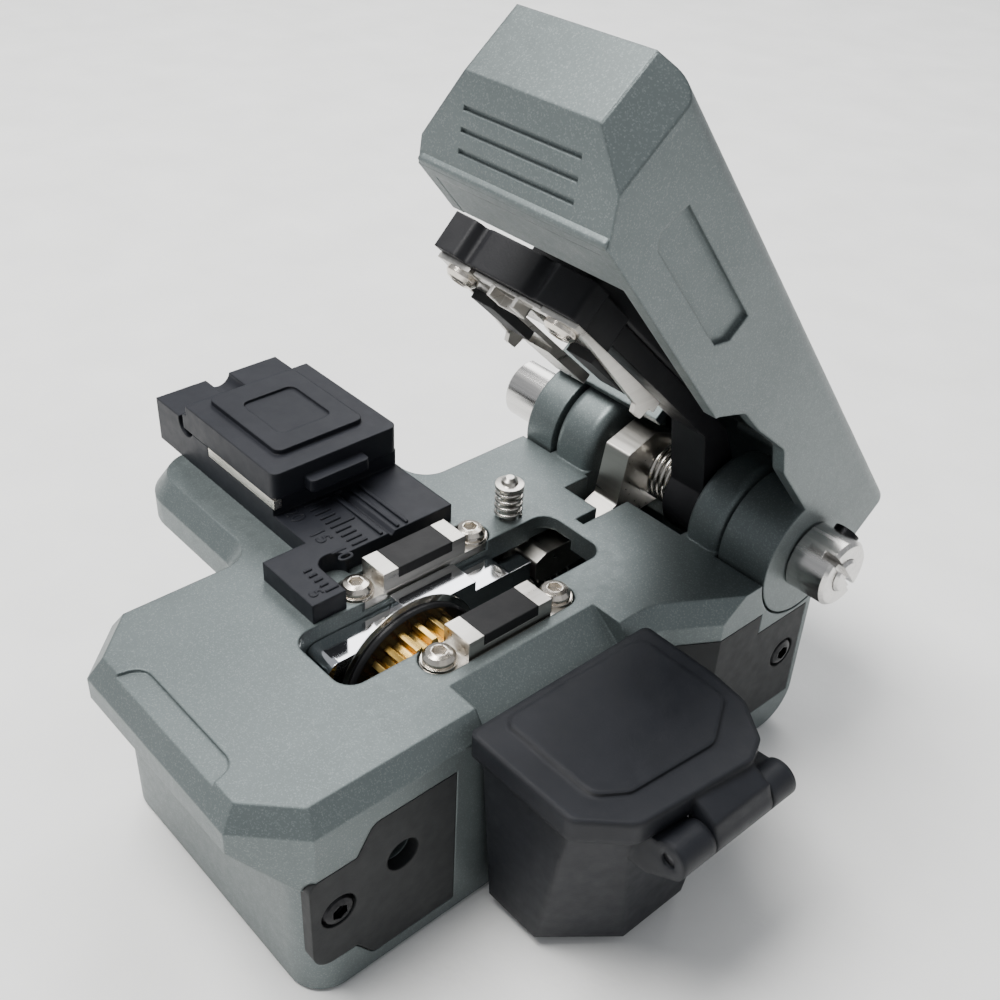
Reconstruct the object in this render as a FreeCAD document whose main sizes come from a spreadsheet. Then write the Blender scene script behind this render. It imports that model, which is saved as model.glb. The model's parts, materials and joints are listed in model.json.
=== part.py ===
"""Fibre cleaver: a hand tool that scores and breaks an optical fibre to a set length.

Parametric FreeCAD document, millimetres, +Z up, +Y away from the user.
The origin is the centre of the underside of the base.

Three local frames are used.  Base pieces are drawn with y = 0 at the front edge of the
deck and z = 0 at the underside.  Lid and arm pieces are drawn as they lie when the lid is
shut, with y = 0 and z = 0 on the hinge axis; their Placement then opens them.
"""
import FreeCAD, Part
import Sketcher
import math
import os
import re

doc = FreeCAD.newDocument("fibre_cleaver")
sheet = doc.addObject("Spreadsheet::Sheet", "Sizes")

# ------------------------------------------------------------------ driving dimensions
# A size that starts with "=" follows the ones before it.
SIZES = {
    # deck and body
    "deck_height": 26.0, "deck_half": 16.7, "corner_cut": 4.7, "rim_outset": 1.7, "rim_drop": 2.4,
    "flange_band": 2.6, "flange_undercut": 4.4, "body_front": 2.8, "body_rear": 71.8, "body_lift": 0.5,
    "body_round": 4.0, "origin_back": 37.3, "deck_wall": 3.0, "flare_half": 22.3, "flare_start": 48.3,
    "flare_end": 54.9, "rear_foot_round": 4.5,
    # wing that carries the fibre holder
    "wing_reach": 39.3, "wing_front": 20.6, "wing_rear": 44.0, "wing_depth": 5.5, "wing_round": 4.6,
    "wing_root_round": 2.0,
    # hinge
    "hinge_back": 68.7, "hinge_rise": 0.8, "hinge_height": "=deck_height + hinge_rise",
    "ear_radius": 7.6, "ear_gap": 0.3, "ear_round": 1.3, "shaft_radius": 2.0, "running_gap": 0.05,
    "left_ear_out": 16.3, "left_ear_in": 11.9, "left_knuckle_in": 5.5, "right_knuckle_in": 10.3,
    "right_knuckle_out": 15.4, "right_ear_out": 22.3, "lid_open": 51.0, "arm_droop": 6.3,
    "collar_radius": 4.0, "collar_length": 4.8, "left_collar_length": 8.0, "collar_slot": 1.0,
    "shaft_proud": 0.4, "set_screw_radius": 1.5,
    # cutting line
    "blade_side": 2.1, "fibre_back": 33.75, "anvil_spread": 7.0, "anvil_rise": 2.1,
    "anvil_top": "=deck_height + anvil_rise", "anvil_width": 3.9, "anvil_front": 28.0,
    "anvil_rear": 39.4, "anvil_screw_pitch": 16.0, "anvil_flange": 1.0, "anvil_flange_half": 2.0,
    "anvil_sink": 1.3, "recess_gap": 0.25, "pad_front": 30.0, "pad_rear": 37.5, "pad_thick": 1.3,
    "screw_head": 1.75, "screw_head_height": 1.1, "screw_shank": 0.8, "screw_reach": 2.6,
    "washer_radius": 1.95, "washer_thick": 0.4, "screw_hole_gap": 0.1,
    # blade carriage
    "blade_radius": 9.4, "blade_thick": 0.8, "blade_rest_back": 27.5, "blade_drop": 7.5,
    "blade_height": "=deck_height - blade_drop", "hub_radius": 8.7, "hub_thick": 0.6,
    "gear_radius": 7.3, "gear_root": 6.4, "gear_width": 3.2, "gear_teeth": 22, "axle_radius": 1.5,
    "axle_head_radius": 2.6, "axle_head_thick": 1.0, "carriage_thick": 4.0, "carriage_front": 17.5,
    "carriage_rear": 43.0, "carriage_drop": 2.0, "carriage_top": "=deck_height - carriage_drop",
    "carriage_bottom": 7.6, "mirror_front": 28.5, "mirror_rear": 37.3, "mirror_drop": 0.7,
    "mirror_top": "=deck_height - mirror_drop", "blade_gap": 0.3, "foot_front": 19.0, "foot_rear": 41.0,
    "foot_right": 8.4, "rail_width": 5.0, "rail_height": 3.2, "rail_front": 14.5, "rail_rear": 56.8,
    "rail_gap": 0.06, "tail_reach": 4.2, "tail_drop": 3.8, "tail_depth": 2.8,
    "tail_high": "=deck_height - tail_drop", "tail_low": "=tail_high - tail_depth", "tail_width": 2.4,
    "relief_height": 1.3, "relief_rear": 56.2, "relief_gap": 0.3, "spring_radius": 1.8,
    "spring_wire": 0.5, "spring_height": 14.0,
    # openings of the base
    "window_left": 2.7, "window_right": 7.0, "window_front": 15.8, "window_rear": 51.7,
    "window_round": 2.2, "chamber_left": 9.4, "chamber_right": 9.6, "chamber_front": 13.0,
    "chamber_rear": 58.0, "chamber_floor": 2.5, "well_rear": 70.0, "notch_left": 5.0,
    "notch_right": 1.8, "notch_front": 56.9, "slit_left": 0.5, "slit_front": 53.4, "thumb_half": 8.3,
    "thumb_back": 2.5, "thumb_sink": 0.35, "chute_inner": 12.7, "chute_front": 24.1, "chute_rear": 44.1,
    "chute_drop": 4.2,
    # plunger
    "plunger_side": 4.9, "plunger_back": 47.6, "plunger_radius": 1.0, "plunger_rise": 5.5,
    "plunger_top": "=deck_height + plunger_rise", "plunger_cap": 1.7, "plunger_spring_rise": 4.1,
    "plunger_spring_top": "=deck_height + plunger_spring_rise", "plunger_spring_wire": 0.45,
    "plunger_tail": 5.0,
    # lid, in the frame of the hinge axis
    "lid_left": 0.4, "lid_right": 22.3, "lid_front": -66.55, "lid_top": 12.9, "lid_nose": 6.0,
    "lid_floor": -0.4, "lid_slope_end": -60.5, "lid_wall": 1.5, "lid_round": 1.8,
    "lid_left_wall_low": 7.6, "lid_step_start": -33.9, "lid_step_end": -28.0, "lid_step_height": 2.7,
    "lid_dip_start": -19.3, "lid_dip_height": 4.0, "bridge_front": -9.2, "bridge_low": 2.6,
    "side_recess_front": -56.9, "side_recess_rear": -39.9, "side_recess_low": 3.2,
    "side_recess_high": 7.5, "side_recess_depth": 0.5, "nose_groove_depth": 0.22,
    "nose_groove_start": 4.4, "nose_groove_length": 13.6, "lid_left_cut": 4.4, "lid_right_cut": 3.1,
    "lid_root": 3.0,
    # pad arm, in the frame of the hinge axis with the pads level
    "arm_left": 7.5, "arm_right": 11.5, "arm_front": -46.2, "arm_low": 3.1, "arm_high": 7.1,
    "arm_spine_left": 5.0, "arm_spine_right": 10.0, "arm_spine_low": 4.2, "arm_spine_high": 6.6,
    "sleeve_radius": 5.3, "sleeve_left": 5.0, "sleeve_right": 10.0, "lobe_front": 1.1, "pad_meet": 0.15,
    "upper_front": -44.9, "upper_rear": -26.6, "upper_plate": 1.0, "upper_cheek": 0.6,
    "upper_screw_back": -43.2, "lever_left": 4.0, "lever_thick": 3.8, "lever_hub": 5.6,
    "lever_width": 4.2, "lever_reach": 20.6, "lever_dip": 6.6, "coil_radius": 3.7, "coil_wire": 0.55,
    "coil_turns": 5,
    # holder
    "holder_front": 24.5, "holder_rear": 41.7, "holder_far": 44.2, "holder_step": 18.7,
    "holder_near": 8.2, "holder_high": 5.8, "holder_plate": 2.4, "holder_foot_left": 12.4,
    "holder_foot_front": 19.0, "clamp_far": 38.6, "clamp_near": 18.2, "clamp_thick": 3.4,
    "clamp_pin_radius": 0.8, "strip_far": 32.3, "strip_low": 3.4, "strip_high": 5.0, "strip_thick": 1.0,
    "groove_side": 33.1, "holder_pin_low": 4.6, "lid_end_swing": 1.6,
    # scrap bin
    "bin_inner": 18.7, "bin_rear": 44.4, "bin_bottom": 1.6, "bin_wall": 1.4, "bin_drop": 2.1,
    "bin_top": "=deck_height - bin_drop", "scrap_lid_drop": 0.2,
    "scrap_lid_top": "=deck_height - scrap_lid_drop", "scrap_lid_thick": 1.6, "scrap_lid_inner": 18.6,
    "scrap_lid_front": 21.6, "scrap_lid_rear": 46.1, "scrap_pin_side": 38.8, "scrap_pin_drop": 4.5,
    "scrap_pin_height": "=deck_height - scrap_pin_drop", "scrap_knuckle": 2.0, "scrap_pin_radius": 0.8,
    # side and bottom covers
    "cover_seam": 20.5, "rear_cover_start": 47.0, "rear_cover_end": 70.9, "rear_cover_low": 4.6,
    "rear_cover_drop": 4.8, "rear_cover_high": "=deck_height - rear_cover_drop",
    "rear_cover_step": 18.4, "rear_cover_step_end": 62.0, "access_back": 13.9, "access_height": 14.2,
    "access_radius": 1.9, "cover_thick": 1.5, "cover_gap": 0.1, "cover_screw_head": 1.9,
    "bottom_thick": 2.0, "sole_half": 9.0, "sole_thick": 1.0, "sole_front": 13.0, "sole_rear": 64.0,
    "bottom_half": 14.0, "bottom_front": 10.4, "bottom_rear": 67.0, "bottom_round": 3.0,
    "bottom_screw_inset": 2.6,
}

for row, (alias, size) in enumerate(SIZES.items(), start=1):
    sheet.set(f"A{row}", alias)
    sheet.set(f"B{row}", str(size))
    sheet.setAlias(f"B{row}", alias)
doc.recompute()


# ------------------------------------------------------------------ drawing helpers
def linked(text):
    """An expression in which every size name points at the spreadsheet."""
    return re.sub(r"[a-z_]+", lambda word: f"Sizes.{word[0]}" if word[0] in SIZES else word[0], str(text))


def amount(text):
    """The present value of such an expression."""
    return float(sheet.evalExpression(linked(text)))


def bind(item, name, text):
    item.setExpression(name, linked(text))


def new_body(label, frame="base", at=("0", "0", "0")):
    """A body placed in the base frame, or in the frame of the open lid or arm."""
    body = doc.addObject("PartDesign::Body", label)
    body.Label = label
    side, back, up = at
    if frame == "base":
        bind(body, "Placement.Base.x", side)
        bind(body, "Placement.Base.y", f"({back}) - origin_back")
        bind(body, "Placement.Base.z", up)
        return body
    turn = "lid_open" if frame == "lid" else "(lid_open - arm_droop)"
    angle = amount(turn)
    body.Placement = FreeCAD.Placement(FreeCAD.Vector(), FreeCAD.Rotation(FreeCAD.Vector(-1, 0, 0), angle))
    bind(body, "Placement.Rotation.Angle", turn)
    bind(body, "Placement.Base.x", side)
    bind(body, "Placement.Base.y", f"hinge_back - origin_back + ({back})*cos({turn}) + ({up})*sin({turn})")
    bind(body, "Placement.Base.z", f"hinge_height - ({back})*sin({turn}) + ({up})*cos({turn})")
    return body


def sketch(body, plane, level="0"):
    """An empty sketch on one origin plane of the body, lifted to a level along its axis."""
    drawing = body.newObject("Sketcher::SketchObject", f"{body.Label}_{plane}")
    support = [feature for feature in body.Origin.OriginFeatures if feature.Role == f"{plane}_Plane"][0]
    drawing.AttachmentSupport = (support, [""])
    drawing.MapMode = "FlatFace"
    sign = "-" if plane == "XZ" else ""
    bind(drawing, "AttachmentOffset.Base.z", f"{sign}({level})")
    return drawing


def pin_point(drawing, curve, place, texts):
    """Fix one point of a curve by its two distances from the origin."""
    for kind, text in zip(("DistanceX", "DistanceY"), texts):
        number = drawing.addConstraint(Sketcher.Constraint(kind, -1, 1, curve, place, amount(text)))
        bind(drawing, f"Constraints[{number}]", text)


def circle(drawing, across, up, radius):
    centre = FreeCAD.Vector(amount(across), amount(up), 0)
    ring = drawing.addGeometry(Part.Circle(centre, FreeCAD.Vector(0, 0, 1), amount(radius)), False)
    pin_point(drawing, ring, 3, (across, up))
    number = drawing.addConstraint(Sketcher.Constraint("Radius", ring, amount(radius)))
    bind(drawing, f"Constraints[{number}]", radius)


def rounding(before, corner, after, radius):
    """Centre, two tangent points and turning sense of the arc that rounds a corner."""
    back = (before - corner).normalize()
    onward = (after - corner).normalize()
    half = back.getAngle(onward) / 2
    reach = radius / math.tan(half)
    centre = corner + (back + onward).normalize() * (radius / math.sin(half))
    turns_left = (corner - before).cross(after - corner).z > 0
    return centre, corner + back * reach, corner + onward * reach, turns_left


def outline(drawing, corners):
    """A closed outline through (across, up) or (across, up, radius) corners, all bound to sizes."""
    total = len(corners)
    points = [FreeCAD.Vector(amount(corner[0]), amount(corner[1]), 0) for corner in corners]
    starts, ends, arcs = list(points), list(points), {}
    for index, corner in enumerate(corners):
        if len(corner) == 3:
            arc = rounding(points[index - 1], points[index], points[(index + 1) % total], amount(corner[2]))
            arcs[index] = arc
            ends[index], starts[index] = arc[1], arc[2]
    lines = []
    for index in range(total):
        edge = Part.LineSegment(starts[index], ends[(index + 1) % total])
        lines.append(drawing.addGeometry(edge, False))
    for index, corner in enumerate(corners):
        before, after = lines[index - 1], lines[index]
        if index not in arcs:
            drawing.addConstraint(Sketcher.Constraint("Coincident", before, 2, after, 1))
            pin_point(drawing, after, 1, corner[:2])
            continue
        centre, entry, leave, turns_left = arcs[index]
        angles = [math.atan2(point.y - centre.y, point.x - centre.x) for point in (entry, leave)]
        if not turns_left:
            angles.reverse()
        if angles[1] < angles[0]:
            angles[1] += 2 * math.pi
        rim = Part.Circle(centre, FreeCAD.Vector(0, 0, 1), amount(corner[2]))
        arc = drawing.addGeometry(Part.ArcOfCircle(rim, *angles), False)
        drawing.addConstraint(Sketcher.Constraint("Tangent", before, 2, arc, 1 if turns_left else 2))
        drawing.addConstraint(Sketcher.Constraint("Tangent", after, 1, arc, 2 if turns_left else 1))
        number = drawing.addConstraint(Sketcher.Constraint("Radius", arc, amount(corner[2])))
        bind(drawing, f"Constraints[{number}]", corner[2])
        vertex = drawing.addGeometry(Part.Point(points[index]), True)
        drawing.addConstraint(Sketcher.Constraint("PointOnObject", vertex, 1, before))
        drawing.addConstraint(Sketcher.Constraint("PointOnObject", vertex, 1, after))
        pin_point(drawing, vertex, 1, corner[:2])


def box_corners(left, low, right, high, radius=None):
    corners = [(left, low), (right, low), (right, high), (left, high)]
    return corners if radius is None else [corner + (radius,) for corner in corners]


def extrude(body, kind, drawing, length):
    """Pad or Pocket of a sketch.  Both run towards the positive axis of the sketch's plane."""
    feature = body.newObject(f"PartDesign::{kind}", f"{body.Label}_{kind.lower()}")
    feature.Profile = drawing
    feature.Refine = True
    bind(feature, "Length", length)
    along_normal = drawing.AttachmentSupport[0][0].Role != "XZ_Plane"
    feature.Reversed = along_normal == (kind == "Pocket")
    doc.recompute()
    return feature


def solid(body, kind, plane, level, length, corners):
    """Pad or Pocket of an outline, or of a (centre, centre, radius) circle, from level to level + length."""
    drawing = sketch(body, plane, level)
    if isinstance(corners, tuple):
        circle(drawing, *corners)
    else:
        outline(drawing, corners)
    return extrude(body, kind, drawing, length)


def pad(body, plane, level, length, corners):
    return solid(body, "Pad", plane, level, length, corners)


def pocket(body, plane, level, length, corners):
    """A pocket that is checked to remove something."""
    before = body.Tip.Shape.Volume
    feature = solid(body, "Pocket", plane, level, length, corners)
    assert feature.Shape.Volume < before - 1e-6, f"{body.Label}: a pocket cuts nothing"
    return feature


def revolve(body, corners, kind="Revolution", axis="V_Axis", plane="XZ"):
    drawing = sketch(body, plane)
    outline(drawing, corners)
    feature = body.newObject(f"PartDesign::{kind}", f"{body.Label}_{kind.lower()}")
    feature.Profile = drawing
    feature.ReferenceAxis = (drawing, [axis])
    feature.Angle = 360
    doc.recompute()
    return feature


def edges_where(body, test):
    """Names of the tip's edges whose middle point (and edge) pass a test."""
    names = []
    for number, edge in enumerate(body.Tip.Shape.Edges, start=1):
        middle = edge.valueAt((edge.FirstParameter + edge.LastParameter) / 2)
        if test(middle, edge):
            names.append(f"Edge{number}")
    assert names, f"{body.Label}: no edge passes the test"
    return names


def dress(body, kind, names, size, second=None):
    """Fillet or Chamfer of some edges of the tip."""
    support = body.Tip
    feature = body.newObject(f"PartDesign::{kind}", f"{body.Label}_{kind.lower()}")
    feature.Base = (support, names)
    if kind == "Fillet":
        bind(feature, "Radius", size)
    else:
        bind(feature, "Size", size)
    if second is not None:
        feature.ChamferType = "Two distances"
        bind(feature, "Size2", second)
    doc.recompute()
    if "Invalid" in feature.State or not feature.Shape.isValid():
        raise RuntimeError(f"{feature.Label} failed on {len(names)} edges")
    return feature


def near(one, other, slack=0.02):
    return abs(one - other) < slack


def level_edge(edge):
    """True for an edge that lies flat."""
    return edge.BoundBox.ZLength < 1e-3


def group(label, bodies):
    """Several like pieces kept as separate solids under one name."""
    together = doc.addObject("Part::Compound", label)
    together.Label = label
    together.Links = bodies
    return together


# ------------------------------------------------------------------ base
RIM = "(deck_half + rim_outset)"
EIGHTH = "tan(22.5)"
FLANGE_DEPTH = "(rim_drop + flange_band + flange_undercut)"
CARRIAGE_FACE = "(blade_side - blade_thick/2 - blade_gap)"


def deck_outline():
    """Plan of the flange that runs round the deck, without the wing."""
    nose = f"deck_half - corner_cut + rim_outset*{EIGHTH}"
    cheek = f"corner_cut - rim_outset*{EIGHTH}"
    return [
        (f"-({nose})", "-rim_outset"), (nose, "-rim_outset"), (RIM, cheek),
        (RIM, "flare_start", "body_round"), ("flare_half", "flare_end"),
        ("flare_half", "body_rear"), (f"-{RIM}", "body_rear"), (f"-{RIM}", cheek),
    ]


def body_outline():
    """Plan of the lower body under the flange."""
    return [
        (f"-{RIM}", "body_front", "body_round"), (RIM, "body_front", "body_round"),
        (RIM, "flare_start", "body_round"), ("flare_half", "flare_end"),
        ("flare_half", "body_rear"), (f"-{RIM}", "body_rear"),
    ]


def wing_outline():
    """Plan of the wing, with hollow corners where it grows out of the deck."""
    reach = "-(wing_reach + rim_outset)"
    front, rear, root = "wing_front - rim_outset", "wing_rear + rim_outset", "2*wing_root_round"
    return [
        (reach, front, "wing_round + rim_outset"), (f"-{RIM}", front, "wing_root_round"),
        (f"-{RIM}", f"{front} - {root}"), ("0", f"{front} - {root}"), ("0", f"{rear} + {root}"),
        (f"-{RIM}", f"{rear} + {root}"), (f"-{RIM}", rear, "wing_root_round"),
        (reach, rear, "wing_round + rim_outset"),
    ]


def side_cover_profile(clearance):
    """Side view (Y, Z) of the front cover, grown by a clearance."""
    grow = clearance
    return [
        (f"3.2 - {grow}", f"17.8 + {grow}", "1.2"), (f"8.6 - {grow}", f"17.8 + {grow}"),
        (f"10.6 - {grow}", f"21 + {grow}", "1.5"), ("cover_seam", f"21 + {grow}"),
        ("cover_seam", f"2.2 - {grow}"), (f"10.2 - {grow}", f"2.2 - {grow}", "1.0"),
        (f"8.2 - {grow}", f"5.1 - {grow}"), (f"3.2 - {grow}", f"5.1 - {grow}", "2.4"),
    ]


def rear_cover_plan(clearance, end="rear_cover_end"):
    """Plan of the rear cover, which follows the flare of the body, up to one of its two ends."""
    inner = "cover_thick"
    return [
        (RIM, f"rear_cover_start - {clearance}"), (RIM, "flare_start"), ("flare_half", "flare_end"),
        ("flare_half", f"{end} + {clearance}"),
        (f"flare_half - {inner}", f"{end} + {clearance}"),
        (f"flare_half - {inner}", f"flare_end + {inner}*0.4"),
        (f"{RIM} - {inner}", f"flare_start + {inner}*0.4"),
        (f"{RIM} - {inner}", f"rear_cover_start - {clearance}"),
    ]


def make_base_body():
    body = new_body("base_body")
    under = f"deck_height - {FLANGE_DEPTH}"
    pad(body, "XY", under, FLANGE_DEPTH, deck_outline())
    lip = "deck_height - rim_drop - flange_band"
    pocket(body, "YZ", "-2*deck_half", "4*deck_half", [
        ("-rim_outset - 1", f"{under} - 1"), ("body_front", f"{under} - 1"), ("body_front", under),
        ("-rim_outset", lip), ("-rim_outset - 1", lip)])
    pad(body, "XY", "deck_height - wing_depth", "wing_depth", wing_outline())
    pad(body, "XY", "body_lift", "deck_height - rim_drop - flange_band - 0.5 - body_lift", body_outline())
    top = amount("deck_height")
    rim_edges = edges_where(
        body, lambda middle, edge: level_edge(edge) and near(middle.z, top)
        and middle.y < amount("body_rear - 1") and middle.x < amount("flare_half") - 0.01)
    dress(body, "Chamfer", rim_edges, "rim_outset", "rim_drop")
    foot_edges = edges_where(
        body, lambda middle, edge: level_edge(edge) and near(middle.z, amount("body_lift"))
        and near(middle.y, amount("body_rear")))
    dress(body, "Fillet", foot_edges, "rear_foot_round")
    return body


def make_hinge_seats(body):
    """The saddle under the lid's ears, the two knuckles with their webs, and the bore."""
    width = "2*flare_half"
    pocket(body, "YZ", "-flare_half", width, ("hinge_back", "hinge_height", "ear_radius + ear_gap"))
    knuckles = [("-(left_ear_in - ear_gap)", "left_ear_in - ear_gap - left_knuckle_in"),
                ("right_knuckle_in", "right_knuckle_out - right_knuckle_in")]
    for start, length in knuckles:
        pad(body, "YZ", start, length, ("hinge_back", "hinge_height", "ear_radius"))
        pad(body, "YZ", start, length,
            box_corners("hinge_back - ear_radius - 0.6", "deck_height - 12", "body_rear", "deck_height"))
    rims = edges_where(
        body, lambda middle, edge: near(edge.BoundBox.XLength, 0) and middle.z > amount("deck_height") + 0.5)
    dress(body, "Fillet", rims, "ear_round")
    pocket(body, "YZ", "-flare_half", width, ("hinge_back", "hinge_height", "shaft_radius + running_gap"))


def make_openings(body):
    """The blade chamber, the window over it, the lever well and the notch in front of it."""
    roof = "deck_height - deck_wall - chamber_floor"
    pocket(body, "XY", "chamber_floor", roof,
           box_corners("-chamber_left", "chamber_front", "chamber_right", "chamber_rear", "2"))
    pocket(body, "XY", "chamber_floor", "deck_height + ear_radius",
           box_corners("-left_knuckle_in", "hinge_back - ear_radius - 0.1", "right_knuckle_in", "well_rear"))
    pocket(body, "XY", "chamber_floor", roof,
           box_corners("-left_knuckle_in", "chamber_rear - 1", "right_knuckle_in", "well_rear"))
    deck = "deck_height - deck_wall - 0.5"
    through = "deck_wall + 1"
    pocket(body, "XY", deck, through,
           box_corners("-window_left", "window_front", "window_right", "window_rear", "window_round"))
    pocket(body, "XY", deck, through,
           box_corners("-notch_left", "notch_front", "notch_right", "hinge_back - ear_radius + 0.5"))
    pocket(body, "XY", deck, through,
           box_corners("slit_left", "slit_front", "notch_right", "notch_front + 0.5"))
    pocket(body, "XY", deck, "relief_height + 0.5",
           box_corners(f"{CARRIAGE_FACE} - carriage_thick - relief_gap", "window_rear - window_round - relief_gap",
                       f"{CARRIAGE_FACE} + relief_gap", "relief_rear"))


def make_deck_details(body):
    """Recesses and holes worked from the top of the deck."""
    first = "fibre_back - anvil_screw_pitch/2"
    last = "fibre_back + anvil_screw_pitch/2"
    sink = "deck_height - anvil_sink"
    for side in ("-", "+"):
        centre = f"(blade_side {side} anvil_spread)"
        half = "(anvil_flange_half + recess_gap)"
        pocket(body, "XY", sink, "anvil_sink + 1",
               box_corners(f"{centre} - {half}", f"{first} - {half}", f"{centre} + {half}",
                           f"{last} + {half}", f"{half} - 0.01"))
        for back in (first, last):
            pocket(body, "XY", "deck_height - screw_reach - 0.2", "screw_reach + 1",
                   (centre, back, "screw_shank"))
    pocket(body, "XY", "deck_height - deck_wall - 0.5", "deck_wall + 1",
           ("-plunger_side", "plunger_back", "plunger_radius + running_gap"))
    pocket(body, "XY", "deck_height - thumb_sink", "thumb_sink + 1", [
        ("-(thumb_half + 1.4)", "-3"), ("thumb_half + 1.4", "-3"), ("thumb_half", "thumb_back", "2"),
        ("-thumb_half", "thumb_back", "2")])
    pocket(body, "XZ", "chute_front", "chute_rear - chute_front", [
        ("chute_inner", "deck_height + 1"), ("chute_inner", "deck_height"),
        (f"{RIM} + 0.1", "deck_height - chute_drop"), (f"{RIM} + 0.1", "deck_height + 1")])


def make_cover_seats(body):
    """Recesses and screw holes for the side and bottom covers."""
    pocket(body, "YZ", f"{RIM} - cover_thick", "cover_thick + 1", side_cover_profile("cover_gap"))
    pocket(body, "XY", "rear_cover_low - cover_gap", "rear_cover_step - rear_cover_low + 2*cover_gap",
           rear_cover_plan("cover_gap"))
    pocket(body, "XY", "rear_cover_step", "rear_cover_high - rear_cover_step + cover_gap",
           rear_cover_plan("cover_gap", "rear_cover_step_end"))
    pocket(body, "YZ", "chamber_right - 1", "16", ("access_back", "access_height", "access_radius"))
    for back, height, face in COVER_SCREWS:
        pocket(body, "YZ", f"{face} - cover_thick - 5", "6", (back, height, "screw_shank"))


COVER_SCREWS = [("6.3", "12.0", RIM), ("67.9", "12.3", "flare_half")]


def make_underside(body):
    """The opening for the bottom cover and its screw holes."""
    pocket(body, "XY", "body_lift - 1", "chamber_floor - body_lift + 1", [
        ("-bottom_half - cover_gap", "bottom_front - cover_gap", "bottom_round"),
        ("bottom_half + cover_gap", "bottom_front - cover_gap", "bottom_round"),
        ("bottom_half + cover_gap", "bottom_rear + cover_gap", "bottom_round"),
        ("-bottom_half - cover_gap", "bottom_rear + cover_gap", "bottom_round")])
    for side, back in bottom_screw_places():
        pocket(body, "XY", "chamber_floor - 0.5", "4", (side, back, "screw_shank"))


def sole_outline(gap):
    """Plan of the rubber sole, grown by a gap."""
    return box_corners(f"-sole_half - {gap}", f"sole_front - {gap}", f"sole_half + {gap}", f"sole_rear + {gap}",
                       "bottom_round")


def bottom_screw_places():
    return [(f"{side}(bottom_half - bottom_screw_inset)", back) for side in ("-", "")
            for back in ("bottom_front + bottom_screw_inset", "bottom_rear - bottom_screw_inset")]


base_body = make_base_body()
make_hinge_seats(base_body)
make_openings(base_body)
make_deck_details(base_body)
make_cover_seats(base_body)
make_underside(base_body)


# ------------------------------------------------------------------ covers, feet and screws
def make_covers():
    front = new_body("front_side_cover")
    pad(front, "YZ", f"{RIM} - cover_thick", "cover_thick", side_cover_profile("0"))
    pocket(front, "YZ", f"{RIM} - cover_thick - 1", "cover_thick + 2", ("access_back", "access_height", "access_radius"))
    pocket(front, "YZ", f"{RIM} - cover_thick - 1", "cover_thick + 2", (*COVER_SCREWS[0][:2], "screw_shank + screw_hole_gap"))
    pocket(front, "YZ", f"{RIM} - 0.9", "2", (*COVER_SCREWS[0][:2], "cover_screw_head + screw_hole_gap"))
    rear = new_body("rear_side_cover")
    pad(rear, "XY", "rear_cover_low", "rear_cover_step - rear_cover_low", rear_cover_plan("0"))
    pad(rear, "XY", "rear_cover_step", "rear_cover_high - rear_cover_step", rear_cover_plan("0", "rear_cover_step_end"))
    pocket(rear, "YZ", f"{RIM} - cover_thick - 1", "10", (*COVER_SCREWS[1][:2], "screw_shank + screw_hole_gap"))
    pocket(rear, "YZ", "flare_half - 0.9", "2", (*COVER_SCREWS[1][:2], "cover_screw_head + screw_hole_gap"))
    bottom = new_body("bottom_cover")
    pad(bottom, "XY", "chamber_floor - bottom_thick", "bottom_thick", [
        ("-bottom_half", "bottom_front", "bottom_round"), ("bottom_half", "bottom_front", "bottom_round"),
        ("bottom_half", "bottom_rear", "bottom_round"), ("-bottom_half", "bottom_rear", "bottom_round")])
    pocket(bottom, "XY", "chamber_floor - bottom_thick - 1", "sole_thick - body_lift + 1", sole_outline("cover_gap"))
    for side, back in bottom_screw_places():
        pocket(bottom, "XY", "chamber_floor - bottom_thick - 1", "bottom_thick + 2", (side, back, "screw_shank + screw_hole_gap"))
        pocket(bottom, "XY", "chamber_floor - bottom_thick - 1", "screw_head_height + 1.1",
               (side, back, "screw_head + screw_hole_gap"))


def make_sole():
    sole = new_body("rubber_sole")
    pad(sole, "XY", "0", "sole_thick", sole_outline("0"))


def make_screw(label, frame, at, head="screw_head", reach="screw_reach", height="screw_head_height"):
    """A round-headed screw whose head stands on the local XY plane, with a hexagonal socket."""
    screw = new_body(label, frame, at)
    revolve(screw, [("0", f"-({reach})"), ("screw_shank - 0.03", f"-({reach})"), ("screw_shank - 0.03", "0"),
                    (head, "0"), (head, f"{height}*0.45"), (f"{head}*0.8", f"{height}*0.85"),
                    (f"{head}*0.5", height), ("0", height)])
    key = f"{head}*0.48"
    corners = [(f"{key}*cos({60 * step})", f"{key}*sin({60 * step})") for step in range(6)]
    pocket(screw, "XY", f"{height}*0.4", f"{height}", corners)
    return screw


def turned(screw, frame_turn, axis, angle):
    """Turn a screw from standing on the XY plane to the way its head faces."""
    screw.setExpression("Placement.Rotation.Angle", None)
    rotation = frame_turn.multiply(FreeCAD.Rotation(FreeCAD.Vector(*axis), angle))
    screw.Placement = FreeCAD.Placement(screw.Placement.Base, rotation)
    return screw


def make_fasteners():
    group("cover_screws", [
        turned(make_screw(f"cover_screw_{number}", "base", (f"{face} - 0.9", back, height), "cover_screw_head",
                          reach="4"), FreeCAD.Rotation(), (0, 1, 0), 90)
        for number, (back, height, face) in enumerate(COVER_SCREWS, start=1)])
    group("bottom_screws", [
        turned(make_screw(f"bottom_screw_{number}", "base", (side, back, "chamber_floor - bottom_thick + screw_head_height + 0.1")),
               FreeCAD.Rotation(), (1, 0, 0), 180)
        for number, (side, back) in enumerate(bottom_screw_places(), start=1)])


make_covers()
make_sole()
make_fasteners()


# ------------------------------------------------------------------ lower anvils
ANVIL_FLOOR = "(deck_height - anvil_sink)"
ANVIL_SHELF = "(deck_height - anvil_sink + anvil_flange)"
FIRST_SCREW = "(fibre_back - anvil_screw_pitch/2)"
LAST_SCREW = "(fibre_back + anvil_screw_pitch/2)"


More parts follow.
